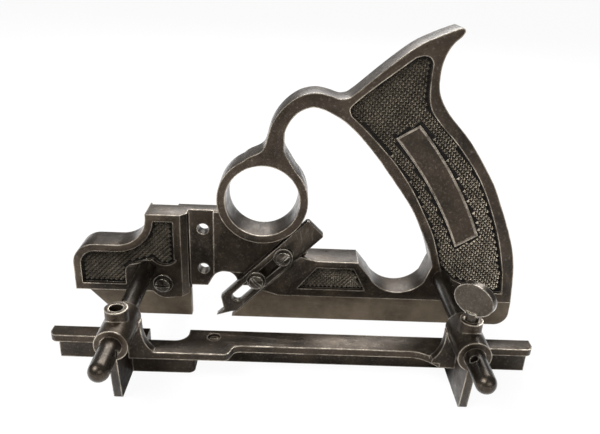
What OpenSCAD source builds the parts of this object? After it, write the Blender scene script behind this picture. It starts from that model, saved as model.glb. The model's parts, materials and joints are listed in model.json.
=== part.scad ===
// Dado plane with a finger ring, a looped pistol handle and a fence on two rods.
// Millimetres. +X points to the heel, +Y to the right side and +Z up.
// The origin lies on the sole, half way along the casting, in the middle plane of the skate.

/* [Casting] */
// Length of the casting from toe to heel
body_l = 190.5; // [180:0.5:205]
// Thickness of the block, ring and handle
casting_t = 12.7; // [12:0.1:15]
// Thickness of the web that carries the cutter
web_t = 5.85; // [4.5:0.05:6.5]
// Thickness of the skate
skate_t = 3.2; // [2.4:0.1:4]
// Depth of the skate below the casting
skate_h = 13.6; // [12:0.1:16]
// Slope of the toe of the skate, in degrees
toe_slope = 47; // [35:1:60]
// Rounding of the heel of the skate
heel_r = 6; // [2:0.5:8]
// Width of the plain border round each recess
rim_w = 3.2; // [2.4:0.1:4]
// Depth of the recesses
recess_depth = 1.8; // [1:0.1:3]

/* [Front block] */
// Height of the block's low front top above the sole
low_top_z = 35.3; // [32:0.1:38]
// Height of the block's high rear top above the sole
high_top_z = 49.8; // [47:0.1:54]
// Rounding of the block's front corner
nose_r = 9.4; // [5:0.1:12]
// Radius of the sweep between the two tops
sweep_r = 12.8; // [8:0.1:14]
// Distance from the toe to the rear wall of the block
block_l = 48.35; // [46:0.05:52]
// Chamfer between the block's near face and the channel
channel_chamfer = 2.5; // [1:0.1:3]
// Width of the spur channel
channel_w = 10.4; // [9:0.1:12]
// Height of the plateau above the channel floor
plateau_h = 1; // [0.4:0.1:1.6]
// Distance from the toe to the depth stop screw
lug_x_from_toe = 37.75; // [36:0.05:39]
// Height of the depth stop screw above the sole
lug_z = 17.85; // [17:0.05:19]
// Radius of the round lug under the block
lug_r = 7.4; // [6:0.1:8]

/* [Ring and handle] */
// Inner radius of the finger ring at its near face
ring_r = 15.3; // [13:0.1:16]
// How much smaller the ring's bore is at the far face
ring_draft = 0.8; // [0:0.1:1.2]
// Wall of the finger ring
ring_wall = 3.4; // [3:0.1:5]
// Distance of the ring's centre ahead of mid length
ring_ahead = 15.6; // [14:0.1:17]
// Height of the ring's centre above the sole
ring_z = 57.2; // [56:0.1:60]
// Height of the horn of the handle above the sole
handle_h = 129.3; // [125:0.1:140]
// Radius of the bowl at the bottom of the handle opening
bowl_r = 14.2; // [12:0.1:15]
// Distance from the heel to the centre of the bowl
bowl_from_heel = 52; // [50:0.1:54]
// Height of the bowl's centre above the sole
bowl_z = 31.2; // [30:0.1:33]
// Height of the low rear top, behind the cutter
rear_top_z = 30.7; // [29:0.1:32]

/* [Cutter] */
// Angle of the bed that the cutter lies on, in degrees
bed_angle = 46; // [42:0.5:50]
// Distance of the foot of the bed ahead of mid length
bed_ahead = 28.6; // [27:0.1:30]
// Width of the cutter
cutter_w = 10; // [9:0.1:11]
// Length of the cutter above the foot of the bed
cutter_l = 56.8; // [54:0.1:62]
// Width of the slot in the cutter
cutter_slot_w = 4.6; // [4.4:0.1:5.4]
// Start of the slot along the cutter
slot_start = 6.6; // [5:0.1:8]
// End of the slot along the cutter
slot_end = 42; // [41:0.1:46]
// Place of the lower screw along the cutter
lower_screw_u = 20.9; // [18:0.1:22]
// Distance between the two cutter screws
cutter_screw_pitch = 16.4; // [14:0.1:17]
// How far the resting edge stays above the sole
edge_gap = 0.15; // [0.05:0.05:0.5]

/* [Screws] */
// Radius of a cutter screw's shank
screw_r = 2; // [1.8:0.05:2.1]
// Radius of the depth stop screw's shank
stop_screw_r = 2.2; // [1.8:0.05:2.3]
// Radius of a screw's head
head_r = 3.1; // [2.8:0.1:3.4]
// Height of a screw's head with its dome
head_h = 2.2; // [1.8:0.1:2.8]
// Height of the dome on a screw's head
dome_h = 0.7; // [0.3:0.1:1]
// Width of a screwdriver slot
driver_w = 0.9; // [0.6:0.1:1.2]
// Depth of a screwdriver slot
driver_d = 1.2; // [0.8:0.1:1.5]
// Radius of a washer
washer_r = 4.25; // [3.8:0.05:4.8]
// Thickness of a washer
washer_t = 0.8; // [0.6:0.1:1.2]
// Radius of the two holes for the spur screws
spur_hole_r = 2.45; // [2:0.05:2.8]
// Distance between the two spur holes
spur_hole_pitch = 19.05; // [17:0.05:21]
// Height of the upper spur hole above the sole
spur_hole_z = 41; // [39:0.1:43]

/* [Rods] */
// Diameter of a fence rod
rod_d = 7.2; // [6.8:0.1:8]
// Length of a rod outside the casting
rod_l = 73.6; // [68:0.1:90]
// Radius of the threaded end of a rod
rod_thread_r = 3.2; // [2.8:0.05:3.4]
// Length of the threaded end of a rod
rod_thread_l = 9; // [7:0.1:10]
// Distance from the toe to the front rod
front_rod_from_toe = 31.05; // [30:0.05:32]
// Distance from the heel to the rear rod
rear_rod_from_heel = 33.65; // [32:0.05:35]
// Height of the rods above the sole
rod_z = 24.9; // [24:0.1:26]
// Radius of the cross hole near a rod's tip
cross_hole_r = 1.5; // [1:0.1:1.8]
// Distance of the cross hole from the tip
cross_hole_from_tip = 12.5; // [10:0.1:14]

/* [Fence] */
// Distance of the fence's guide face from the skate
fence_gap = 29.7; // [24:0.1:34]
// Length of the fence
fence_l = 188.6; // [184:0.1:200]
// Height of the fence's bar above the table
fence_h = 12.1; // [11:0.1:13]
// Thickness of the fence's flange
flange_t = 3; // [2.4:0.1:4]
// Thickness of the fence's guide plate
guide_t = 3.4; // [2.6:0.1:4]
// Width of the flange at both ends
flange_end_w = 6.5; // [5.5:0.1:8]
// Width of the flange in the middle
flange_mid_w = 9.8; // [8:0.1:11]
// Width of the flange beside the front web
flange_wide_w = 15.6; // [14:0.1:17]
// How far the guide is set back beside the depth stop screw
jog_d = 8.3; // [7:0.1:9]
// Thickness of the webs and of the set back plate
fence_web_t = 3.1; // [2.4:0.1:4]
// Radius of the sleeves on the rods
sleeve_r = 6; // [5.6:0.1:7]
// Length of the sleeves
sleeve_l = 19.6; // [18:0.1:24]
// How far the sleeves stand behind the guide face
sleeve_back = 10.7; // [10:0.1:12]
// Radius of the upright bosses
boss_r = 4.1; // [3.6:0.1:5]
// Height of the bosses above the rods' axis
boss_h = 9.3; // [8.5:0.1:11]
// Radius of the threaded holes in the bosses
boss_hole_r = 2.45; // [2:0.05:2.7]
// Radius of the plain hole in the flange
flange_hole_r = 2.5; // [1.8:0.1:2.8]
// Distance of that hole ahead of mid length
flange_hole_ahead = 32.1; // [30:0.1:34]

/* [Thumb screw] */
// Width of the flat thumb piece
thumb_w = 15; // [13:0.1:20]
// Height of the flat thumb piece
thumb_h = 12; // [11:0.1:18]
// Thickness of the thumb piece
thumb_t = 2.8; // [2:0.1:3.6]
// Turn of the thumb piece about its screw, in degrees
thumb_turn = -42; // [-180:1:180]
// Length of shank between the boss and the thumb piece
thumb_neck = 2.4; // [1.5:0.1:4]

/* [Depth stop] */
// Width of the depth stop's shank
stop_w = 11; // [10:0.1:11.6]
// Thickness of the shank under the nut
stop_t = 2.4; // [2:0.1:3]
// Height of the rails that keep the nut from turning
stop_rail_h = 1.6; // [1:0.1:2]
// Depth of the groove that guides the shank
stop_groove_d = 1.6; // [1:0.1:2]
// Length of the foot
foot_l = 20; // [16:0.1:22]
// Reach of the foot beyond the shank
foot_w = 10; // [8:0.1:16]
// Thickness of the foot
foot_t = 2.6; // [2:0.1:3.5]
// Depth of cut that the stop is set to
cut_depth = 9.5; // [2:0.1:9.5]
// Greatest depth of cut
max_depth = 11; // [9.5:0.1:11.2]
// Width of the square nut
nut_w = 8; // [7:0.1:8.4]
// Thickness of the square nut
nut_t = 3; // [2:0.1:4]

/* [Fits] */
// Radial clearance of a shaft in its hole
run_gap = 0.05; // [0.03:0.01:0.08]
// Side clearance of a sliding piece
slide_gap = 0.1; // [0.05:0.01:0.2]
// Clearance between faces that are clamped in use
face_gap = 0.03; // [0.02:0.01:0.05]

/* [Hidden] */
$fn = 64;

// Steps of a smooth curve between two of its points
curve_steps = 4;
// How far a cut or a join runs past the face it meets
over = 1;

// Faces of the casting across the thickness
y_web = skate_t / 2;
y_far = y_web + web_t;
y_near = y_far - casting_t;

// Lengthwise places
toe_x = -body_l / 2;
heel_x = body_l / 2;
block_x = toe_x + block_l;
plateau_x = block_x + channel_w;
lug_x = toe_x + lug_x_from_toe;
ring_x = -ring_ahead;
ring_out = ring_r + ring_wall;
bowl_x = heel_x - bowl_from_heel;
bed_x = -bed_ahead;
front_rod_x = toe_x + front_rod_from_toe;
rear_rod_x = heel_x - rear_rod_from_heel;

// Fence planes, from the guide face towards the user's side
guide_y = -skate_t / 2 - fence_gap;
jog_y = guide_y - jog_d;
sleeve_y = guide_y - sleeve_back;
boss_y = sleeve_y - sleeve_l / 2;
pedestal_y = guide_y - flange_wide_w;
rod_tip_y = y_near - rod_l;
fence_x0 = -fence_l / 2 - 1.2;
fence_x1 = fence_x0 + fence_l;

metal_dark = [0.20, 0.17, 0.15];
metal_mid = [0.28, 0.25, 0.22];
metal_worn = [0.42, 0.39, 0.36];

// Curves and frames

// Point of a Catmull-Rom curve between b and c
function curve_point(a, b, c, d, t) =
    0.5 * (2 * b + (c - a) * t + (2 * a - 5 * b + 4 * c - d) * t * t + (3 * b - a - 3 * c + d) * t * t * t);

// Smooth curve through the points p
function curve(p) = [
    for (i = [0:len(p) - 2], k = [0:curve_steps - 1])
        curve_point(p[max(i - 1, 0)], p[i], p[i + 1], p[min(i + 2, len(p) - 1)], k / curve_steps),
    p[len(p) - 1]
];

// Points along an arc
function arc(c, r, a0, a1, n = 16) = [for (i = [0:n]) c + r * [cos(a0 + (a1 - a0) * i / n), sin(a0 + (a1 - a0) * i / n)]];

// Curve p moved sideways, to its left, by d
function beside(p, d) = [
    for (i = [0:len(p) - 1])
        let (t = p[min(i + 1, len(p) - 1)] - p[max(i - 1, 0)], n = [-t[1], t[0]] / norm(t))
            p[i] + d * n
];

// Point of the side view given in the cutter's own frame: u up the bed, v away from it
function on_bed(u, v) = [
    bed_x + u * cos(bed_angle) - v * sin(bed_angle),
    u * sin(bed_angle) + v * cos(bed_angle)
];

// Solid of a side view between two planes across the thickness
module side(y0, y1) {
    translate([0, y1, 0]) rotate([90, 0, 0]) linear_extrude(y1 - y0) children();
}

// Solid of a plan view between two heights
module plan(z0, z1) {
    translate([0, 0, z0]) linear_extrude(z1 - z0) children();
}

// Cylinder across the thickness
module across(x, z, r, y0, y1) {
    translate([x, y1, z]) rotate([90, 0, 0]) cylinder(r = r, h = y1 - y0);
}

// Handle: outline points as distance ahead of the heel and share of the handle's height

function on_handle(p) = [for (q = p) [heel_x - q[0], handle_h * q[1]]];

// Edge of the handle towards the opening, from the bowl up to the loop
handle_front = on_handle([
    [38, 0.235], [41.4, 0.31], [49.6, 0.435], [59.9, 0.544], [68.1, 0.624], [77, 0.694], [84, 0.73]
]);
// Under side of the loop and inner side of its stem
loop_inner = concat(
    on_handle([[90.2, 0.748], [93.8, 0.746], [97.6, 0.731], [100.6, 0.704], [102.6, 0.668]]),
    [[ring_x + 8.3, ring_z + 25], [ring_x + 8.4, ring_z + 21.5], [ring_x + 10.8, ring_z + 17.2],
     [ring_x + 14, ring_z + 12]]
);
// Outer side of the stem and loop, from the ring to the foot of the horn
loop_outer = concat(
    [[ring_x - 11, ring_z + 14], [ring_x - 6.6, ring_z + 18.2], [ring_x - 1.6, ring_z + 20.8],
     [ring_x + 0.6, ring_z + 23.6]],
    on_handle([
        [108.2, 0.684], [105.7, 0.722], [101.8, 0.757], [96.8, 0.783], [91.2, 0.793],
        [86.2, 0.787], [81.8, 0.777], [78.6, 0.781]
    ])
);
// Top edge of the horn, from its foot to its tip
horn_top = on_handle([[78.6, 0.781], [75, 0.803], [65, 0.873], [54.9, 0.936], [47, 0.968], [40.8, 0.988]]);
// Rounded tip of the horn
horn_tip = on_handle([[39.4, 0.992], [38.2, 0.99], [37.8, 0.983], [38.1, 0.976]]);
// Back edge of the handle, from the horn's tip down to the heel
handle_back = on_handle([
    [39, 0.966], [41.7, 0.945], [44.1, 0.906], [44.9, 0.86], [44.2, 0.806], [39.7, 0.746],
    [29.7, 0.662], [19.7, 0.552], [14.6, 0.479], [6.8, 0.341], [3.2, 0.24], [1.6, 0.115]
]);

// Outline of the handle, the loop and the low rear part
module handle_outline() {
    polygon(concat(
        curve(loop_outer), curve(horn_top), horn_tip, curve(handle_back),
        [[heel_x - 1.5, skate_h], on_bed(skate_h / sin(bed_angle), 0), on_bed(rear_top_z / sin(bed_angle), 0)],
        [[bowl_x - bowl_r - 3.4, rear_top_z]],
        arc([bowl_x, bowl_z], bowl_r, 208, 322),
        curve(concat(handle_front, loop_inner))
    ));
}

// Recess of the handle, with a rounded tip at the loop and a step up round the rod
module handle_recess() {
    polygon(concat(
        curve(on_handle([[77.7, 0.741], [77.1, 0.758], [70, 0.809], [60, 0.872]])),
        curve(on_handle([[54.9, 0.904], [52, 0.911], [49.4, 0.906], [48.1, 0.89]])),
        curve(on_handle([
            [48.3, 0.86], [48.1, 0.801], [46.6, 0.755], [42.3, 0.712], [34, 0.646],
            [24.6, 0.552], [17.6, 0.45], [11.6, 0.333], [7.6, 0.22]
        ])),
        on_handle([[6.2, 0.14], [10.4, 0.14]]),
        curve(on_handle([[18.6, 0.154], [27.2, 0.183], [30.7, 0.2], [34.2, 0.222]])),
        curve(on_handle([
            [36.4, 0.278], [39.6, 0.349], [44.8, 0.427], [49.9, 0.496], [54.9, 0.551],
            [60, 0.6], [70, 0.679], [76.9, 0.727]
        ]))
    ));
}

// Front block: outline, its lug and its recess

module block_outline(inset) {
    hi = high_top_z - inset;
    lo = low_top_z - nose_r;
    sweep_c = [block_x - 29.7, low_top_z + sweep_r];
    polygon(concat(
        [[toe_x + inset, skate_h + inset]],
        arc([toe_x + nose_r, lo], nose_r - inset, 180, 90),
        arc(sweep_c, sweep_r + inset, -90, 0),
        [[sweep_c[0] + sweep_r + inset, hi], [block_x - inset, hi], [block_x - inset, skate_h + inset]]
    ));
}

module lug_outline() {
    c = [lug_x + 1.5, lug_z];
    polygon(concat(
        arc(c, lug_r, 165, 268, 12),
        [[block_x, c[1] - lug_r + 1.4], [block_x, skate_h + lug_r], [c[0] - lug_r + 0.4, skate_h + lug_r]]
    ));
}

// Recess of the block: it stops at the land round the rod and ends in a round lobe over the screw
module block_recess() {
    land_x = front_rod_x - 9.4;
    land_z = rod_z + 1.8;
    land_r = 4;
    right = block_x - channel_chamfer - rim_w;
    r1 = nose_r - rim_w;
    r2 = sweep_r + rim_w;
    sweep_c = [block_x - 29.7, low_top_z + sweep_r];
    polygon(concat(
        [[toe_x + rim_w, skate_h + rim_w]],
        arc([toe_x + nose_r, low_top_z - nose_r], r1, 180, 90, 8),
        arc(sweep_c, r2, -90, -6, 12),
        [[sweep_c[0] + r2, high_top_z - rim_w], [right, high_top_z - rim_w], [right, land_z + 2.6]],
        arc([lug_x + 1, land_z + 5.8], 6.1, -34, -146, 10),
        arc([land_x + land_r, land_z - land_r], land_r, 90, 180, 6),
        [[land_x, skate_h + rim_w]]
    ));
}

// Point of the side view at height z, on a line beside the bed
function beside_bed(z, v) = [bed_x + z / tan(bed_angle) - v / sin(bed_angle), z];

// Recess of the low rear part, between the cutter and the bowl
module rear_recess() {
    z0 = skate_h + 3.7;
    z1 = rear_top_z - rim_w + 0.1;
    x_far = bowl_x - bowl_r;
    polygon([beside_bed(z0, -8.6), beside_bed(z1, -7.3), [x_far - 5.2, z1], [x_far + 0.2, z0]]);
}

// Web between the block, the ring and the low rear part
arch_r = 5.7;
arch_c = [bed_x - 3.3, skate_h + 1.7];

module web_outline() {
    polygon(concat(
        [[block_x - over, skate_h], [block_x - over, high_top_z], [ring_x, high_top_z],
         [ring_x + 12.6, ring_z - 14], beside_bed(rear_top_z - over, -3), beside_bed(skate_h + 0.4, -3)],
        arc(arch_c, arch_r, -12, 147, 14),
        [[arch_c[0] - arch_r - 1.7, skate_h]]
    ));
}

// Raised part of the web, ahead of the cutter
module plateau_outline() {
    edge = cutter_w + 2 * slide_gap + 0.2;
    low_z = arch_c[1] + arch_r * sin(60);
    polygon(concat(
        [[plateau_x, arch_c[1] + 3.4], [plateau_x, high_top_z - 0.4], [ring_x - 2, high_top_z - 0.4], beside_bed(ring_z - 16, edge),
         beside_bed(low_z + 0.4, edge)],
        arc(arch_c, arch_r + 0.3, 80, 136, 8)
    ));
}

module front_skate() {
    polygon([
        [toe_x + 2.7, skate_h + over], [toe_x + 2.7, skate_h], [toe_x + 2.7 + skate_h / tan(toe_slope), 0],
        [block_x + 0.7, 0], [block_x + 0.7, skate_h], [block_x - over, skate_h + over]
    ]);
}

module rear_skate() {
    polygon(concat(
        [on_bed(0, 0)], arc([heel_x - heel_r, heel_r], heel_r, -90, 0),
        [[heel_x, skate_h - 1.2], [heel_x - 3, skate_h + over], on_bed((skate_h + over) / sin(bed_angle), 0)]
    ));
}

// Wedge that slopes the low rear part down to the cutter's bed
module bed_slope() {
    run = 5.2;
    translate([bed_x, 0, 0]) rotate([0, -bed_angle, 0]) rotate([90, 0, 90])
        linear_extrude(cutter_l * 1.6) polygon([
            [-skate_t / 2, over], [-skate_t / 2, 0], [y_near, -run], [y_near - over, -run - 0.8], [y_near - over, over]
        ]);
}

module cutter_screw_holes(r) {
    for (u = [lower_screw_u, lower_screw_u + cutter_screw_pitch])
        let (p = screw_at(u)) across(p[0], p[1], r, y_web - over, y_far + over);
}

module casting() color(metal_dark) {
    groove_w = stop_w + 2 * slide_gap;
    difference() {
        union() {
            side(y_near, y_far) block_outline(0);
            side(y_near, y_far) lug_outline();
            side(y_near, y_far) handle_outline();
            across(ring_x, ring_z, ring_out, y_near, y_far);
            side(y_web, y_far) web_outline();
            side(y_web - plateau_h, y_web) plateau_outline();
            side(-skate_t / 2, skate_t / 2) front_skate();
            side(-skate_t / 2, skate_t / 2) rear_skate();
        }
        translate([ring_x, y_far + over, ring_z]) rotate([90, 0, 0])
            cylinder(
                r1 = ring_r - ring_draft - ring_draft * over / casting_t,
                r2 = ring_r + ring_draft * over / casting_t,
                h = casting_t + 2 * over
            );
        bed_cut();
        channel_cut();
        side(y_near - over, y_near + recess_depth) block_recess();
        side(y_near - over, y_near + recess_depth) handle_recess();
        side(y_near - over, y_near + recess_depth) rear_recess();
        side(y_far - recess_depth, y_far + over) handle_recess();
        side(y_far - recess_depth, y_far + over) rear_recess();
        cutter_screw_holes(screw_r + run_gap);
        for (k = [0, 1])
            across(block_x + channel_w / 2 + 0.7, spur_hole_z - k * spur_hole_pitch, spur_hole_r, y_web - over, y_far + over);
        for (x = [front_rod_x, rear_rod_x])
            across(x, rod_z, rod_thread_r + run_gap, y_near - over, y_near + rod_thread_l + over / 2);
        across(lug_x, lug_z, stop_screw_r + run_gap, y_near - over, y_far + over);
        translate([lug_x - groove_w / 2, y_far - stop_groove_d, -over])
            cube([groove_w, stop_groove_d + over, high_top_z + 2 * over]);
    }
}

// Space of the cutter above the bed, cut out of the low rear part
module bed_cut() {
    intersection() {
        side(y_near - over, y_web) polygon([on_bed(-20, 0), on_bed(cutter_l + 20, 0), on_bed(cutter_l + 20, cutter_w), on_bed(-20, cutter_w)]);
        translate([bed_x, y_near - over, 0]) cube([80, casting_t, rear_top_z + over]);
    }
    intersection() {
        bed_slope();
        translate([bed_x, y_near - over, skate_h]) cube([80, casting_t, rear_top_z - skate_h + over]);
    }
}

// Chamfer down the rear edge of the block
module channel_cut() {
    translate([block_x, y_near, 0]) rotate([0, 0, 45])
        translate([-channel_chamfer * sqrt(2), -channel_chamfer / sqrt(2), 0])
            cube([2 * channel_chamfer * sqrt(2), channel_chamfer * sqrt(2), high_top_z + over]);
}

// Cutter and its screws

// Edge end of the cutter, from its upper side to its lower side, in the cutter's own frame
module cutter_outline() {
    w = cutter_w;
    chamfer = 0.8;
    polygon([
        [3.7, w], [0.5, 0.54 * w], [-0.2, 0.46 * w], [-4.6, 0.48 * w], [1.8, 0.13 * w], [3.4, 0],
        [cutter_l - chamfer, 0], [cutter_l, chamfer], [cutter_l, w - chamfer], [cutter_l - chamfer, w]
    ]);
}

module cutter_slot() {
    r = cutter_slot_w / 2;
    translate([slot_start + r, cutter_w / 2]) circle(r);
    translate([slot_end - r, cutter_w / 2]) circle(r);
    translate([slot_start + r, cutter_w / 2 - r]) square([slot_end - slot_start - 2 * r, cutter_slot_w]);
}

module in_bed_frame(y0, y1) {
    translate([bed_x, y1, 0]) rotate([0, -bed_angle, 0]) rotate([90, 0, 0]) linear_extrude(y1 - y0) children();
}

module cutter() color(metal_mid) {
    translate([-slide_gap * sin(bed_angle), 0, slide_gap * cos(bed_angle) + edge_gap])
        in_bed_frame(-skate_t / 2, y_web - face_gap) difference() {
            cutter_outline();
            cutter_slot();
        }
}

// Screw along the Y axis with its head's seat at the origin and its shank towards +Y
module slotted_screw(r, shank_l, slot_turn) {
    rim_h = head_h - dome_h;
    cap_r = (head_r * head_r + dome_h * dome_h) / (2 * dome_h);
    difference() {
        union() {
            rotate([-90, 0, 0]) cylinder(r = r, h = shank_l);
            rotate([90, 0, 0]) cylinder(r = head_r, h = rim_h);
            intersection() {
                translate([0, cap_r - head_h, 0]) sphere(r = cap_r, $fn = 96);
                rotate([90, 0, 0]) cylinder(r = head_r, h = head_h);
            }
        }
        rotate([0, -slot_turn, 0])
            translate([-head_r - over, -head_h - over, -driver_w / 2])
                cube([2 * (head_r + over), driver_d + over, driver_w]);
    }
}

module washer(bore_r) {
    rotate([90, 0, 0]) difference() {
        cylinder(r = washer_r, h = washer_t);
        translate([0, 0, -over]) cylinder(r = bore_r, h = washer_t + 2 * over);
    }
}

// Centre of a cutter screw at u along the bed
function screw_at(u) = on_bed(u, cutter_w / 2 + slide_gap) + [0, edge_gap];
upper_screw = screw_at(lower_screw_u + cutter_screw_pitch);
lower_screw = screw_at(lower_screw_u);
washer_y = -skate_t / 2 - face_gap;
head_y = washer_y - washer_t - face_gap;

module cutter_screw(p, slot_turn) {
    translate([p[0], head_y, p[1]]) slotted_screw(screw_r, y_far - head_y, slot_turn);
}

module upper_cutter_screw() color(metal_mid) cutter_screw(upper_screw, bed_angle);

module lower_cutter_screw() color(metal_mid) cutter_screw(lower_screw, bed_angle + 90);

module cutter_washers() color(metal_mid) {
    for (p = [upper_screw, lower_screw]) translate([p[0], washer_y, p[1]]) washer(screw_r + run_gap);
}

// Rods

// Rod along -Y from the casting's near face: threaded end, round tip and cross hole
module rod(x, hole_turn) color(metal_mid) {
    r = rod_d / 2;
    translate([x, y_near, rod_z]) difference() {
        union() {
            translate([0, -face_gap, 0]) rotate([90, 0, 0]) cylinder(r = r, h = rod_l - r - face_gap);
            translate([0, r - rod_l, 0]) sphere(r = r);
            translate([0, -over, 0]) rotate([-90, 0, 0]) cylinder(r = rod_thread_r, h = rod_thread_l + over);
        }
        translate([0, cross_hole_from_tip - rod_l, 0]) rotate([0, hole_turn, 0])
            cylinder(r = cross_hole_r, h = 2 * rod_d, center = true);
    }
}

module front_rod() rod(front_rod_x, 90);

module rear_rod() rod(rear_rod_x, -35);

// Fence: a bar with a guide plate, two webs and two sleeves, all one casting

notch_x0 = front_rod_x + 6.4;
notch_x1 = notch_x0 + 15.8;
notch_d = jog_d - 0.8;
cove_r = 5;
flare_x = fence_x0 + 72.6;
foot_x = rear_rod_x - 11.4;

// Plan of the flange
module flange_plan() {
    y_end = guide_y - flange_end_w;
    y_mid = guide_y - flange_mid_w;
    y_wide = guide_y - flange_wide_w;
    y_notch = guide_y - notch_d;
    end_r = 3;
    difference() {
        union() {
            translate([fence_x0 + end_r, y_end]) square([fence_l - 2 * end_r, flange_end_w]);
            translate([fence_x0, y_end + end_r]) square([fence_l, flange_end_w - end_r]);
            for (x = [fence_x0 + end_r, fence_x1 - end_r]) translate([x, y_end + end_r]) circle(end_r);
            translate([front_rod_x, y_mid]) square([rear_rod_x - front_rod_x, flange_mid_w]);
            polygon(concat(
                [[front_rod_x, guide_y - over], [front_rod_x, y_wide]],
                curve([[flare_x - 4.4, y_wide], [flare_x - 2.6, y_wide + 0.9], [flare_x - 0.8, y_mid - 0.9], [flare_x + 1.2, y_mid]]),
                [[flare_x + 1.2, guide_y - over]]
            ));
            polygon(concat(
                [[rear_rod_x, guide_y - over], [foot_x - 6, guide_y - over]],
                curve([[foot_x - 6, y_mid], [foot_x - 2.6, y_mid - 0.7], [foot_x + 1, y_mid - 2.8], [foot_x + 4, y_wide]]),
                [[rear_rod_x, y_wide]]
            ));
            for (x = [front_rod_x, rear_rod_x]) translate([x - 4.6, y_wide]) square([9.2, flange_wide_w - over]);
        }
        translate([notch_x0, y_notch]) square([notch_x1 - notch_x0 - cove_r, notch_d + over]);
        translate([notch_x0, y_notch + cove_r]) square([notch_x1 - notch_x0, notch_d - cove_r + over]);
        translate([notch_x1 - cove_r, y_notch + cove_r]) circle(cove_r);
        translate([-flange_hole_ahead, guide_y - flange_mid_w / 2 + 0.4]) circle(flange_hole_r);
    }
}

// Guide plate: front part, set back part and long rear part
module guide_plan() {
    left = fence_x0 + 2.4;
    translate([left, guide_y - guide_t]) square([notch_x0 - left, guide_t]);
    translate([notch_x1, guide_y - guide_t]) square([fence_x1 - 1.2 - notch_x1, guide_t]);
    translate([front_rod_x, jog_y - fence_web_t]) square([notch_x1 + 0.6 - front_rod_x, fence_web_t]);
    translate([notch_x1, jog_y - fence_web_t + 2]) square([fence_web_t, jog_d + fence_web_t - 2]);
    translate([notch_x1 + 0.6, jog_y - fence_web_t + 2.5]) circle(2.5);
}

// Side view of a web that carries a sleeve, as distance from the guide face and height
module foot_side() {
    front = sleeve_y - sleeve_l;
    polygon([
        [guide_y - over, 0], [front + 4, 0], [front + 3.2, 0.8], [front + 0.4, rod_z - sleeve_r * 0.8], [front + 0.4, rod_z],
        [sleeve_y, rod_z], [sleeve_y, rod_z - sleeve_r], [pedestal_y + fence_web_t, fence_h - 1],
        [guide_y - over, fence_h - 1]
    ]);
}

// Front view of the flared web under a sleeve, at its near side
module flare_front() {
    foot = sleeve_r + 4.6;
    difference() {
        translate([-foot, fence_h - 1]) square([2 * foot, rod_z - fence_h + 1]);
        for (k = [-1, 1]) translate([k * (foot + 1.4), rod_z - 1]) scale([0.47, 1]) circle(rod_z - fence_h - 1.4);
    }
}

module fence() color(metal_dark) {
    bottom_r = 5;
    difference() {
        union() {
            plan(fence_h - flange_t, fence_h) flange_plan();
            plan(0, fence_h - flange_t / 2) guide_plan();
            for (x = [front_rod_x, rear_rod_x]) {
                translate([x - fence_web_t / 2, 0, 0])
                    rotate([90, 0, 90]) linear_extrude(fence_web_t) foot_side();
                translate([x, pedestal_y + fence_web_t, 0]) rotate([90, 0, 0]) linear_extrude(fence_web_t) flare_front();
                across(x, rod_z, sleeve_r, sleeve_y - sleeve_l, sleeve_y);
                translate([x, boss_y, rod_z]) cylinder(r = boss_r, h = boss_h);
            }
        }
        for (x = [front_rod_x, rear_rod_x]) {
            across(x, rod_z, rod_d / 2 + run_gap, sleeve_y - sleeve_l - over, sleeve_y + over);
            translate([x, boss_y, rod_z]) cylinder(r = boss_hole_r, h = boss_h + over);
        }
    }
}

// Thumb screw: shank down to the rear rod and a flat oval head

thumb_tip_z = rod_z + rod_d / 2 + face_gap;
thumb_z = rod_z + boss_h + thumb_neck;

module thumb_screw() color(metal_mid) {
    translate([rear_rod_x, boss_y, 0]) rotate([0, 0, thumb_turn]) {
        translate([0, 0, thumb_tip_z]) cylinder(r = boss_hole_r - run_gap, h = thumb_z + 1 - thumb_tip_z);
        intersection() {
            translate([0, thumb_t / 2, thumb_z]) rotate([90, 0, 0]) linear_extrude(thumb_t) union() {
                translate([0, thumb_h / 2]) scale([thumb_w / thumb_h, 1]) circle(thumb_h / 2);
                polygon([[-boss_hole_r, 0], [boss_hole_r, 0], [thumb_w * 0.3, thumb_h * 0.3], [-thumb_w * 0.3, thumb_h * 0.3]]);
            }
            translate([0, 0, thumb_z - over]) cylinder(r = thumb_w, h = thumb_h + 2 * over);
        }
    }
}

// Depth stop on the right side of the block, with its screw, washer and nut

stop_y = y_far - stop_groove_d + face_gap;
stop_slot_r = stop_screw_r + slide_gap;
nut_y = stop_y + stop_t + face_gap;

module depth_stop() color(metal_dark) {
    slot_z0 = lug_z - (max_depth - cut_depth);
    slot_z1 = lug_z + cut_depth;
    top_z = slot_z1 + stop_slot_r + 2.4;
    rail_w = (stop_w - nut_w) / 2 - slide_gap;
    difference() {
        union() {
            translate([lug_x - stop_w / 2, stop_y, cut_depth]) cube([stop_w, stop_t, top_z - cut_depth]);
            for (k = [-1, 1])
                translate([lug_x + k * (stop_w - rail_w) / 2 - rail_w / 2, stop_y, cut_depth])
                    cube([rail_w, stop_t + stop_rail_h, top_z - cut_depth]);
            translate([lug_x - foot_l / 2, y_far + slide_gap, cut_depth]) cube([foot_l, foot_w, foot_t]);
        }
        across(lug_x, slot_z0, stop_slot_r, stop_y - over, nut_y + over);
        across(lug_x, slot_z1, stop_slot_r, stop_y - over, nut_y + over);
        translate([lug_x - stop_slot_r, stop_y - over, slot_z0])
            cube([2 * stop_slot_r, stop_t + 2 * over, slot_z1 - slot_z0]);
    }
}

lug_washer_y = y_near - face_gap;
lug_head_y = lug_washer_y - washer_t - face_gap;

module depth_stop_screw() color(metal_mid) {
    translate([lug_x, lug_head_y, lug_z]) slotted_screw(stop_screw_r, nut_y + nut_t + 0.6 - lug_head_y, 0);
}

module depth_stop_washer() color(metal_mid) {
    translate([lug_x, lug_washer_y, lug_z]) washer(stop_screw_r + run_gap);
}

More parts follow.
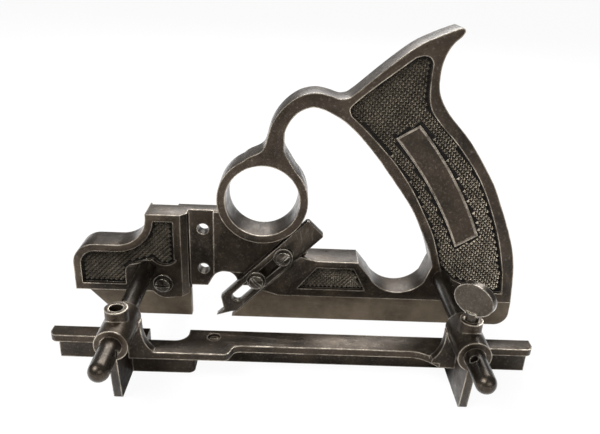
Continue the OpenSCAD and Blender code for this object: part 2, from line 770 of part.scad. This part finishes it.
module depth_stop_nut() color(metal_mid) {
    difference() {
        translate([lug_x - nut_w / 2, nut_y, lug_z - nut_w / 2]) cube([nut_w, nut_t, nut_w]);
        across(lug_x, lug_z, stop_screw_r + run_gap, nut_y - over, nut_y + nut_t + over);
    }
}

casting();
cutter();
upper_cutter_screw();
lower_cutter_screw();
cutter_washers();
front_rod();
rear_rod();
fence();
thumb_screw();
depth_stop();
depth_stop_screw();
depth_stop_washer();
depth_stop_nut();
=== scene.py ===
"""Looks of the dado plane

Rounded castings, pebbled recesses and aged iron, seen by the photograph's camera in a pale studio.
"""

import json
import math

import bmesh
import bpy
from mathutils import Matrix, Vector
from mathutils.bvhtree import BVHTree

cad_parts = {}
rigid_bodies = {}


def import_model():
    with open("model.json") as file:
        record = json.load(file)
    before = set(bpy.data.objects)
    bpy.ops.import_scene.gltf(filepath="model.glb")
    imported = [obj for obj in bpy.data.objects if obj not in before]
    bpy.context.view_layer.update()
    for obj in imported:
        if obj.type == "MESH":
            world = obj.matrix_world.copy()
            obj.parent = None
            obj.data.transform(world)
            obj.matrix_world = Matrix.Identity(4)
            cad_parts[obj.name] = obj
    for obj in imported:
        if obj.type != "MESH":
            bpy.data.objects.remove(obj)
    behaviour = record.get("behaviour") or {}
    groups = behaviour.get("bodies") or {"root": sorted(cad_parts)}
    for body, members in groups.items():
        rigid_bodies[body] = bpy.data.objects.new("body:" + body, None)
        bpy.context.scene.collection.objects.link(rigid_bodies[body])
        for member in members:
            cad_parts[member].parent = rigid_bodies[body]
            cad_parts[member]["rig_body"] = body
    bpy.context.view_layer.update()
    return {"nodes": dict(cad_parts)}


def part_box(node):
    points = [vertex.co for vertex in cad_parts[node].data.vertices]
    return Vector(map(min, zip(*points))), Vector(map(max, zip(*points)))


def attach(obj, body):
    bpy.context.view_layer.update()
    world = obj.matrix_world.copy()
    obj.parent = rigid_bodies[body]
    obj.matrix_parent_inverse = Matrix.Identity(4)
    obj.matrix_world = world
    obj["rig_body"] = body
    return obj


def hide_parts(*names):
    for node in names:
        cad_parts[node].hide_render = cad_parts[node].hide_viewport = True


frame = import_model()
MM = 0.001
scene = bpy.context.scene
nodes = frame["nodes"]


# Materials

# Noise scales of the metals, in repeats per metre
CLOUD_SCALE = 55
WEAR_SCALE = 160
GLOSS_SCALE = 240
DENT_SCALE = 300
GRAIN_SCALE = 900
PIT_SCALE = 1300
SPECK_SCALE = 2300
# The most that grain and specks show of the worn colour
GRAIN_SHARE = 0.22
SPECK_SHARE = 0.12
# Share of the wide dents in the bump, where the rest is fine pits
DENT_SHARE = 0.35
BUMP_DEPTH = 0.2 * MM
# Wear starts and is full at these cosines between the face's normal and the one rounded over this radius
WEAR_RADIUS = 0.9 * MM
WEAR_SAMPLES = 6
WEAR_START = 0.993
WEAR_FULL = 0.9
LEAST_WEAR = 0.15
# Roughness of a worn edge, as a share of the metal's least roughness
WORN_ROUGH = 0.8


def feed(nt, value, socket):
    """Links a socket or writes a constant into an input"""
    if isinstance(value, bpy.types.NodeSocket):
        nt.links.new(value, socket)
    else:
        socket.default_value = value


def mixer(nt, kind, a, b, fac):
    """A mix of two colours or two values, where each may be a socket or a constant"""
    n = nt.nodes.new("ShaderNodeMix")
    n.data_type = kind
    first, second, result = (6, 7, 2) if kind == "RGBA" else (2, 3, 0)
    feed(nt, fac, n.inputs[0])
    feed(nt, a, n.inputs[first])
    feed(nt, b, n.inputs[second])
    return n.outputs[result]


def product(nt, a, b):
    """The product of two values, where each may be a socket or a constant"""
    n = nt.nodes.new("ShaderNodeMath")
    n.operation = "MULTIPLY"
    feed(nt, a, n.inputs[0])
    feed(nt, b, n.inputs[1])
    return n.outputs[0]


def noise(nt, scale, detail, rough, stretch=(1, 1, 1)):
    """Noise over the object's own coordinates, with its scale in repeats per metre"""
    co = nt.nodes.new("ShaderNodeTexCoord")
    mp = nt.nodes.new("ShaderNodeMapping")
    mp.inputs["Scale"].default_value = stretch
    nt.links.new(co.outputs["Object"], mp.inputs["Vector"])
    n = nt.nodes.new("ShaderNodeTexNoise")
    n.inputs["Scale"].default_value = scale
    n.inputs["Detail"].default_value = detail
    n.inputs["Roughness"].default_value = rough
    nt.links.new(mp.outputs[0], n.inputs["Vector"])
    return n.outputs["Fac"]


def ramp(nt, src, low, high, out_low=0.0, out_high=1.0):
    """Maps a value range onto another, clamped"""
    n = nt.nodes.new("ShaderNodeMapRange")
    n.inputs["From Min"].default_value = low
    n.inputs["From Max"].default_value = high
    n.inputs["To Min"].default_value = out_low
    n.inputs["To Max"].default_value = out_high
    nt.links.new(src, n.inputs["Value"])
    return n.outputs[0]


def edge_wear(nt, most):
    """Share of the worn colour: none on flat faces, patchy and at most this much along edges"""
    bev = nt.nodes.new("ShaderNodeBevel")
    bev.samples = WEAR_SAMPLES
    bev.inputs["Radius"].default_value = WEAR_RADIUS
    geo = nt.nodes.new("ShaderNodeNewGeometry")
    dot = nt.nodes.new("ShaderNodeVectorMath")
    dot.operation = "DOT_PRODUCT"
    nt.links.new(bev.outputs[0], dot.inputs[0])
    nt.links.new(geo.outputs["Normal"], dot.inputs[1])
    sharp = ramp(nt, dot.outputs["Value"], low=WEAR_START, high=WEAR_FULL)
    patches = noise(nt, WEAR_SCALE, detail=5, rough=0.7)
    return product(nt, sharp, ramp(nt, patches, low=0.36, high=0.6, out_low=LEAST_WEAR, out_high=most))


def metal(name, dark, mid, worn, edge, rough, grain=(1, 1, 1), pits=0.25, metallic=0.75):
    """Aged metal: mottled patina, fine grain, small pits and bright worn edges"""
    mat = bpy.data.materials.new(name)
    mat.use_nodes = True
    nt = mat.node_tree
    bsdf = nt.nodes["Principled BSDF"]
    bright = (*worn, 1)

    cloud = ramp(nt, noise(nt, CLOUD_SCALE, detail=5, rough=0.65), low=0.36, high=0.64)
    patina = mixer(nt, "RGBA", (*dark, 1), (*mid, 1), cloud)
    fine = noise(nt, GRAIN_SCALE, detail=6, rough=0.7, stretch=grain)
    streak = ramp(nt, fine, low=0.55, high=0.85, out_low=0, out_high=GRAIN_SHARE)
    grained = mixer(nt, "RGBA", patina, bright, streak)
    speck = ramp(nt, noise(nt, SPECK_SCALE, detail=3, rough=0.6), low=0.6, high=0.74)
    specked = mixer(nt, "RGBA", grained, bright, product(nt, speck, SPECK_SHARE))
    wear = edge_wear(nt, edge)
    nt.links.new(mixer(nt, "RGBA", specked, bright, wear), bsdf.inputs["Base Color"])

    gloss = noise(nt, GLOSS_SCALE, detail=5, rough=0.7)
    dull = ramp(nt, gloss, low=0.3, high=0.7, out_low=rough[0], out_high=rough[1])
    nt.links.new(mixer(nt, "FLOAT", dull, rough[0] * WORN_ROUGH, wear), bsdf.inputs["Roughness"])
    bsdf.inputs["Metallic"].default_value = metallic

    pit = noise(nt, PIT_SCALE, detail=4, rough=0.65, stretch=grain)
    dent = noise(nt, DENT_SCALE, detail=3, rough=0.5)
    bump = nt.nodes.new("ShaderNodeBump")
    bump.inputs["Strength"].default_value = pits
    bump.inputs["Distance"].default_value = BUMP_DEPTH
    nt.links.new(mixer(nt, "FLOAT", pit, dent, DENT_SHARE), bump.inputs["Height"])
    nt.links.new(bump.outputs[0], bsdf.inputs["Normal"])
    return mat


IRON = metal(
    "aged_iron", dark=(0.012, 0.0082, 0.005), mid=(0.042, 0.03, 0.02), worn=(0.5, 0.44, 0.36),
    edge=0.95, rough=(0.26, 0.5),
)
SKATE = metal(
    "ground_iron", dark=(0.05, 0.037, 0.024), mid=(0.11, 0.085, 0.058), worn=(0.32, 0.27, 0.21),
    edge=0.5, rough=(0.32, 0.5), grain=(0.12, 1, 1), pits=0.16,
)
RECESS = metal(
    "recess_iron", dark=(0.002, 0.0015, 0.001), mid=(0.006, 0.0046, 0.0032), worn=(0.12, 0.1, 0.08),
    edge=0.2, rough=(0.5, 0.75),
)
PEBBLE = metal(
    "pebble_iron", dark=(0.008, 0.0058, 0.0038), mid=(0.026, 0.019, 0.0125), worn=(0.46, 0.4, 0.31),
    edge=0.5, rough=(0.3, 0.5),
)
STEEL = metal(
    "dark_steel", dark=(0.014, 0.0105, 0.0075), mid=(0.048, 0.038, 0.028), worn=(0.5, 0.45, 0.38),
    edge=0.9, rough=(0.22, 0.42), grain=(1, 1, 0.2), pits=0.15, metallic=0.85,
)
SCREW = metal(
    "screw_steel", dark=(0.016, 0.0125, 0.0095), mid=(0.055, 0.045, 0.035), worn=(0.55, 0.5, 0.43),
    edge=0.95, rough=(0.2, 0.4), pits=0.12, metallic=0.85,
)


# Rounded copies of the CAD solids

MERGE_DIST = 2e-6
FLAT_ANGLE = math.radians(0.6)
ROUND_ANGLE = math.radians(38)
SHARP_ANGLE = math.radians(32)
ROUND_SEGMENTS = 3


def skin(node, width, mats, pick=None):
    """A copy of a CAD node with rounded edges: it stands for the node in the picture"""
    src = nodes[node]
    bm = bmesh.new()
    bm.from_mesh(src.data)
    bmesh.ops.remove_doubles(bm, verts=bm.verts, dist=MERGE_DIST)
    bmesh.ops.dissolve_limit(bm, angle_limit=FLAT_ANGLE, verts=bm.verts, edges=bm.edges)
    bm.normal_update()
    me = bpy.data.meshes.new(node + "_skin")
    bm.to_mesh(me)
    bm.free()
    ob = bpy.data.objects.new(node + "_skin", me)
    scene.collection.objects.link(ob)
    bev = ob.modifiers.new("round", "BEVEL")
    bev.width = width
    bev.segments = ROUND_SEGMENTS
    bev.limit_method = "ANGLE"
    bev.angle_limit = ROUND_ANGLE
    bev.miter_outer = "MITER_ARC"
    bev.use_clamp_overlap = True
    dg = bpy.context.evaluated_depsgraph_get()
    done = bpy.data.meshes.new_from_object(ob.evaluated_get(dg))
    ob.modifiers.clear()
    ob.data = done
    for m in mats:
        ob.data.materials.append(m)
    if pick:
        for f in ob.data.polygons:
            f.material_index = pick(f.center, f.normal)
    ob.data.shade_smooth()
    ob.data.set_sharp_from_angle(angle=SHARP_ANGLE)
    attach(ob, src["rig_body"])
    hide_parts(node)


CASTING_MATS = [IRON, SKATE, RECESS]
# Sides of the casting: the near one faces the fence, the far one faces away from it
NEAR = -1
FAR = 1
Y_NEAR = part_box("casting")[0].y
Y_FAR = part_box("casting")[1].y
RECESS_D = 1.8 * MM
SKATE_TOP = 13.4 * MM
# Half the skate's thickness, with a little room
SKATE_HALF = 1.62 * MM
# Places this close along Y are in one plane, and a normal this far along Y is a floor's
SAME_PLANE = 0.05 * MM
FLOOR_NORMAL = 0.9


def face_y(side):
    """Place along Y of the casting's face"""
    return Y_NEAR if side == NEAR else Y_FAR


def floor_y(side):
    """Place along Y of the recess floors"""
    return face_y(side) - side * RECESS_D


def casting_pick(c, n):
    """Index of a face's material: recess floors are darker and the skate's ground sides lighter"""
    for side in (NEAR, FAR):
        if abs(c.y - floor_y(side)) < SAME_PLANE and side * n.y > FLOOR_NORMAL:
            return CASTING_MATS.index(RECESS)
    if c.z < SKATE_TOP and abs(c.y) < SKATE_HALF:
        return CASTING_MATS.index(SKATE)
    return CASTING_MATS.index(IRON)


skin("casting", 0.55 * MM, CASTING_MATS, casting_pick)

# The other nodes, each with the width of its rounded edges in millimetres, its slot and its material
PLAIN_SKINS = (
    ("fence", 0.5, "cast_iron", IRON),
    ("cutter", 0.18, "tool_steel", STEEL),
    ("upper_cutter_screw", 0.15, "screw_steel", SCREW),
    ("lower_cutter_screw", 0.15, "screw_steel", SCREW),
    ("cutter_washers", 0.18, "screw_steel", SCREW),
    ("front_rod", 0.2, "rod_steel", STEEL),
    ("rear_rod", 0.2, "rod_steel", STEEL),
    ("thumb_screw", 0.4, "screw_steel", SCREW),
    ("depth_stop", 0.25, "tool_steel", STEEL),
    ("depth_stop_screw", 0.15, "screw_steel", SCREW),
    ("depth_stop_washer", 0.18, "screw_steel", SCREW),
    ("depth_stop_nut", 0.25, "screw_steel", SCREW),
)
for plain_node, round_mm, plain_slot, plain_mat in PLAIN_SKINS:
    skin(plain_node, round_mm * MM, [plain_mat])


# Relief on the recess floors

# Pieces of the relief are sunk this far into the floor
SINK = 0.02 * MM


def foot_y(side):
    """Place along Y where a piece of the relief starts, just under the recess floor"""
    return floor_y(side) - side * SINK


def relief(name, verts, faces, mat, turn_out=False):
    """A piece on the casting, and turn_out works out which way its faces look"""
    me = bpy.data.meshes.new(name)
    me.from_pydata(verts, [], faces)
    me.update()
    if turn_out:
        bm = bmesh.new()
        bm.from_mesh(me)
        bmesh.ops.recalc_face_normals(bm, faces=bm.faces)
        bm.to_mesh(me)
        bm.free()
    me.materials.append(mat)
    ob = bpy.data.objects.new(name, me)
    scene.collection.objects.link(ob)
    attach(ob, "body")


# Bare panel of the handle: middles of its ends, half its width and how far it bows at mid length
PANEL_A = Vector((40.8, 0, 88.4)) * MM
PANEL_B = Vector((70.4, 0, 42.1)) * MM
PANEL_HALF = 5.3 * MM
PANEL_BULGE = 2.2 * MM
PANEL_RUN = PANEL_B - PANEL_A
PANEL_L = PANEL_RUN.length
PANEL_ALONG = PANEL_RUN / PANEL_L
PANEL_ACROSS = Vector((-PANEL_ALONG.z, 0, PANEL_ALONG.x))
PANEL_STEPS = 14
BORDER_W = 0.6 * MM
BORDER_H = 0.7 * MM
PLATE_INSET = 0.5 * MM
PLATE_H = 0.3 * MM
# Room that the pyramids leave at the panel's ends and sides, as shares of their pitch
END_ROOM = 0.7
SIDE_ROOM = 0.75


def bow(share):
    """How far the panel bows with the handle at this share of its length"""
    return PANEL_BULGE * 4 * share * (1 - share)


def on_panel(x, z, pitch):
    """True where a pyramid of this pitch would meet the panel or its border"""
    q = Vector((x, 0, z)) - PANEL_A
    along = q.dot(PANEL_ALONG)
    across = q.dot(PANEL_ACROSS) - bow(along / PANEL_L)
    inside = -pitch * END_ROOM < along < PANEL_L + pitch * END_ROOM
    return inside and abs(across) < PANEL_HALF + pitch * SIDE_ROOM


def panel_point(along, across, share, y):
    """The point at these distances along and across the panel, bowed as at this share of its length"""
    middle = PANEL_A + PANEL_ALONG * along
    return tuple(middle + PANEL_ACROSS * (across + bow(share)) + Vector((0, y, 0)))


def panel_border(name, side):
    """Thin raised border of the bare panel"""
    base = foot_y(side)
    top = base + side * BORDER_H
    stops = [PANEL_L * k / PANEL_STEPS for k in range(PANEL_STEPS + 1)]
    outer = [(along, PANEL_HALF) for along in stops] + [(along, -PANEL_HALF) for along in stops[::-1]]
    inner = []
    for along, across in outer:
        kept = min(max(along, BORDER_W), PANEL_L - BORDER_W)
        inner.append((kept, across - math.copysign(BORDER_W, across)))
    levels = ((outer, base), (outer, top), (inner, top), (inner, base))
    verts, faces = [], []
    for ring, y in levels:
        verts += [panel_point(along, across, along / PANEL_L, y) for along, across in ring]
    count = len(outer)
    for level in range(len(levels)):
        here, there = level * count, (level + 1) % len(levels) * count
        for k in range(count):
            after = (k + 1) % count
            faces.append((here + k, here + after, there + after, there + k))
    relief(name, verts, faces, IRON, turn_out=True)


def panel_plate(name, side):
    """Plain plate inside the border, a little above the recess floor"""
    base = foot_y(side)
    top = base + side * PLATE_H
    half = PANEL_HALF - PLATE_INSET
    section = ((half, base), (half, top), (-half, top), (-half, base))
    count = len(section)
    verts, faces = [], []
    for k in range(PANEL_STEPS + 1):
        share = k / PANEL_STEPS
        along = PLATE_INSET + (PANEL_L - 2 * PLATE_INSET) * share
        verts += [panel_point(along, across, share, y) for across, y in section]
    for k in range(PANEL_STEPS):
        for c in range(count):
            a, b = count * k + c, count * k + (c + 1) % count
            faces.append((a, b, b + count, a + count))
    last = count * PANEL_STEPS
    faces += [(0, 1, 2, 3), (last + 3, last + 2, last + 1, last)]
    relief(name, verts, faces, IRON, turn_out=True)


def casting_tree():
    """Search tree over the casting's solid"""
    bm = bmesh.new()
    bm.from_mesh(nodes["casting"].data)
    tree = BVHTree.FromBMesh(bm)
    bm.free()
    return tree


TREE = casting_tree()
# The rays towards the recess floors start this far outside the casting
RAY_START = 10 * MM


def on_floor(x, z, side):
    """True where the casting has a recess floor at this place"""
    start = Vector((x, face_y(side) + side * RAY_START, z))
    hit = TREE.ray_cast(start, Vector((0, -side, 0)))[0]
    return hit is not None and abs(hit.y - floor_y(side)) < SAME_PLANE


# Turn of the pyramids' grid
DIAMOND = math.radians(45)
# Half the width of a pyramid's foot as a share of the pitch, and the tip's width as a share of the foot's
FOOT_SHARE = 0.47
TIP_SHARE = 0.1
# Faces of a pyramid, with corners 0 to 3 at its foot and 4 to 7 at its tip, as seen from the near side
PYRAMID = ((0, 1, 5, 4), (1, 2, 6, 5), (2, 3, 7, 6), (3, 0, 4, 7), (4, 5, 6, 7), (3, 2, 1, 0))


def grid(box, pitch):
    """Middles of a turned square grid inside a box"""
    ca, sa = math.cos(DIAMOND), math.sin(DIAMOND)
    cx, cz = (box[0] + box[2]) / 2, (box[1] + box[3]) / 2
    reach = int(max(box[2] - box[0], box[3] - box[1]) / pitch) + 2
    for i in range(-reach, reach + 1):
        for j in range(-reach, reach + 1):
            x = cx + pitch * (i * ca - j * sa)
            z = cz + pitch * (i * sa + j * ca)
            if box[0] < x < box[2] and box[1] < z < box[3]:
                yield x, z


def pebbles(name, side, box, pitch, height, panel=False):
    """Pyramids over the recess floors inside the box, and clear of the bare panel if there is one"""
    ca, sa = math.cos(DIAMOND), math.sin(DIAMOND)
    base = foot_y(side)
    tip = base + side * height
    half = pitch * FOOT_SHARE
    verts, faces = [], []
    for x, z in grid(box, pitch):
        corners = []
        for u, v in ((-half, -half), (half, -half), (half, half), (-half, half)):
            corners.append((x + u * ca - v * sa, z + u * sa + v * ca))
        if not all(on_floor(px, pz, side) for px, pz in corners):
            continue
        if panel and on_panel(x, z, pitch):
            continue
        k = len(verts)
        verts += [(px, base, pz) for px, pz in corners]
        verts += [(x + (px - x) * TIP_SHARE, tip, z + (pz - z) * TIP_SHARE) for px, pz in corners]
        for quad in PYRAMID:
            order = quad if side == NEAR else quad[::-1]
            faces.append([k + n for n in order])
    relief(name, verts, faces, PEBBLE)


# Box round each recess: its least x and z, then its greatest x and z, in metres
BLOCK_BOX = (-0.095, 0.012, -0.048, 0.050)
HANDLE_BOX = (0.015, 0.014, 0.095, 0.125)
REAR_BOX = (-0.004, 0.014, 0.034, 0.030)
WIDE_PITCH = 1.5 * MM
WIDE_H = 0.95 * MM
FINE_PITCH = 1.3 * MM
FINE_H = 0.7 * MM
pebbles("handle_pebbles_near", NEAR, HANDLE_BOX, WIDE_PITCH, WIDE_H, panel=True)
pebbles("block_pebbles", NEAR, BLOCK_BOX, WIDE_PITCH, WIDE_H)
pebbles("rear_pebbles_near", NEAR, REAR_BOX, FINE_PITCH, FINE_H)
pebbles("handle_pebbles_far", FAR, HANDLE_BOX, WIDE_PITCH, WIDE_H, panel=True)
pebbles("rear_pebbles_far", FAR, REAR_BOX, FINE_PITCH, FINE_H)

for word, sign in (("near", NEAR), ("far", FAR)):
    panel_border("panel_border_" + word, sign)
    panel_plate("panel_plate_" + word, sign)


# Floor and studio

WHITE = (1, 1, 1, 1)
FLOOR_HALF = 3.0
# Drop of the floor under the sole
FLOOR_DROP = 0.0002
FLOOR_DARK = (0.86, 0.86, 0.86, 1)
FLOOR_PALE = (0.9, 0.9, 0.9, 1)
FLOOR_SCALE = 4
FLOOR_ROUGH = 0.9
# Share of plain white that the camera sees on the floor, where the rest keeps the object's shadow
FLOOR_GLOW = 0.94
WORLD_LIGHT = 0.3


def camera_mix(nt, other, seen, share, target):
    """Shows the camera this share of the seen shader, and every other ray the other one"""
    path = nt.nodes.new("ShaderNodeLightPath")
    blend = nt.nodes.new("ShaderNodeMixShader")
    nt.links.new(product(nt, path.outputs["Is Camera Ray"], share), blend.inputs[0])
    nt.links.new(other.outputs[0], blend.inputs[1])
    nt.links.new(seen.outputs[0], blend.inputs[2])
    nt.links.new(blend.outputs[0], target)


def floor():
    """Pale matt floor with a faint mottle"""
    me = bpy.data.meshes.new("floor")
    s = FLOOR_HALF
    me.from_pydata([(-s, -s, 0), (s, -s, 0), (s, s, 0), (-s, s, 0)], [], [(0, 1, 2, 3)])
    ob = bpy.data.objects.new("floor", me)
    ob.location.z = -FLOOR_DROP
    scene.collection.objects.link(ob)
    mat = bpy.data.materials.new("floor_white")
    mat.use_nodes = True
    nt = mat.node_tree
    bsdf = nt.nodes["Principled BSDF"]
    tone = mixer(nt, "RGBA", FLOOR_DARK, FLOOR_PALE, noise(nt, FLOOR_SCALE, detail=2, rough=0.5))
    nt.links.new(tone, bsdf.inputs["Base Color"])
    bsdf.inputs["Roughness"].default_value = FLOOR_ROUGH
    glow = nt.nodes.new("ShaderNodeEmission")
    glow.inputs["Color"].default_value = WHITE
    glow.inputs["Strength"].default_value = 1.0
    camera_mix(nt, bsdf, glow, FLOOR_GLOW, nt.nodes["Material Output"].inputs["Surface"])
    me.materials.append(mat)


def studio():
    """Even white surroundings, which the camera sees at full strength"""
    world = bpy.data.worlds.new("studio")
    world.use_nodes = True
    scene.world = world
    nt = world.node_tree
    light = nt.nodes["Background"]
    light.inputs["Color"].default_value = WHITE
    light.inputs["Strength"].default_value = WORLD_LIGHT
    backdrop = nt.nodes.new("ShaderNodeBackground")
    backdrop.inputs["Color"].default_value = WHITE
    backdrop.inputs["Strength"].default_value = 1.0
    camera_mix(nt, light, backdrop, 1.0, nt.nodes["World Output"].inputs["Surface"])


# Middle of the object, where the lamps point
MIDDLE = Vector((0, 0, 0.05))


def lamp(name, where, size, power):
    """Area lamp that points at the object's middle"""
    data = bpy.data.lights.new(name, "AREA")
    data.shape = "RECTANGLE"
    data.size, data.size_y = size
    data.energy = power
    ob = bpy.data.objects.new(name, data)
    ob.location = where
    ob.rotation_euler = (MIDDLE - Vector(where)).to_track_quat("-Z", "Y").to_euler()
    scene.collection.objects.link(ob)


floor()
studio()
lamp("key", where=(-0.45, -0.35, 0.75), size=(0.5, 0.4), power=12)
lamp("front", where=(0.35, -0.8, 0.45), size=(0.6, 0.4), power=3)
lamp("back", where=(0.1, 0.6, 0.6), size=(0.8, 0.4), power=9)


# Camera of the photograph

CAMERA_AT = Vector((-4.94, -239.38, 153.69)) * MM
AZIMUTH = math.radians(1.21)
ELEVATION = math.radians(23.65)
ROLL = math.radians(2.53)
FOCAL_PX = 622.0
WIDTH_PX = 600.0
SENSOR_MM = 36.0
CLIP_START = 0.01


def photo_camera():
    """Camera at the photograph's place, with its turn and focal length"""
    forward = Vector((
        math.sin(AZIMUTH) * math.cos(ELEVATION),
        math.cos(AZIMUTH) * math.cos(ELEVATION),
        -math.sin(ELEVATION),
    ))
    level = Vector((math.cos(AZIMUTH), -math.sin(AZIMUTH), 0))
    upright = level.cross(forward)
    right = level * math.cos(ROLL) + upright * math.sin(ROLL)
    up = -level * math.sin(ROLL) + upright * math.cos(ROLL)
    data = bpy.data.cameras.new("photo_camera")
    data.sensor_width = SENSOR_MM
    data.lens = SENSOR_MM * FOCAL_PX / WIDTH_PX
    data.clip_start = CLIP_START
    cam = bpy.data.objects.new("photo_camera", data)
    turn = Matrix((right, up, -forward)).transposed().to_4x4()
    cam.matrix_world = Matrix.Translation(CAMERA_AT) @ turn
    scene.collection.objects.link(cam)
    scene.camera = cam


photo_camera()
scene.view_settings.view_transform = "Standard"

bpy.context.view_layer.update()
